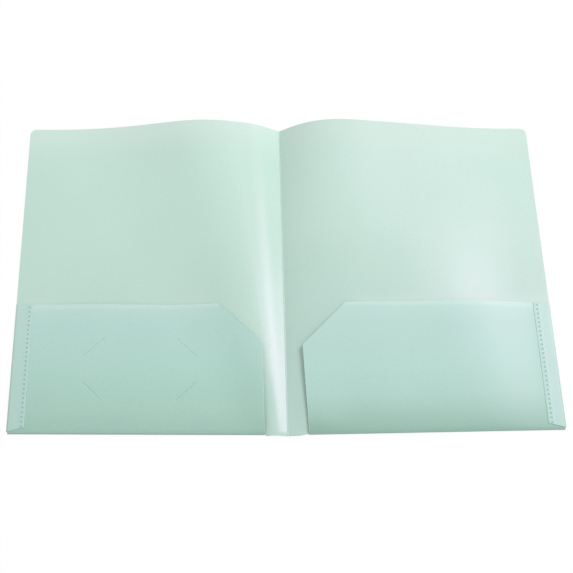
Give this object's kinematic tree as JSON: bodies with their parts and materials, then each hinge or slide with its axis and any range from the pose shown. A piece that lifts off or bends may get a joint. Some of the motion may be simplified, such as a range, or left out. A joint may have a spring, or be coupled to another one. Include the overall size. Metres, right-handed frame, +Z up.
{
  "type": "two pocket folder",
  "caption": "Letter-size presentation folder of thin satin plastic, lying open, with a pocket folded up inside each cover, welded side flaps and slits for a business card.",
  "frame": {"origin": "on the table, under the middle of the open folder's box", "axes": "+X across the covers towards the back cover, +Y from the bottom folds to the top edges along the spine, +Z up"},
  "size_m": [0.4826, 0.3074, 0.023],
  "materials": {
    "single_layer": "fine sand satin, slightly translucent mint",
    "double_layer": "fine sand satin, slightly translucent mint, over a second layer",
    "fold_edge": "satin, paler where the sheet is creased",
    "weld": "smooth pressed weld marks"
  },
  "bodies": {
    "back": {"back_cover": "single_layer", "back_pocket": "double_layer", "back_bottom_fold": "fold_edge", "back_side_fold": "fold_edge", "back_side_flap": "double_layer", "back_weld_marks": "weld", "spine_crease": "fold_edge"},
    "front": {"front_cover": "single_layer", "front_pocket": "double_layer", "front_bottom_fold": "fold_edge", "front_side_fold": "fold_edge", "front_side_flap": "double_layer", "front_weld_marks": "weld"}
  },
  "joints": [
    {"name": "spine_fold", "type": "hinge", "parent": "back", "child": "front", "pos_m": [0, 0, 0.0005], "axis": [0, 1, 0], "range_deg": [0, 170], "deforming": ["back_cover", "back_pocket", "front_cover", "front_pocket"]}
  ]
}
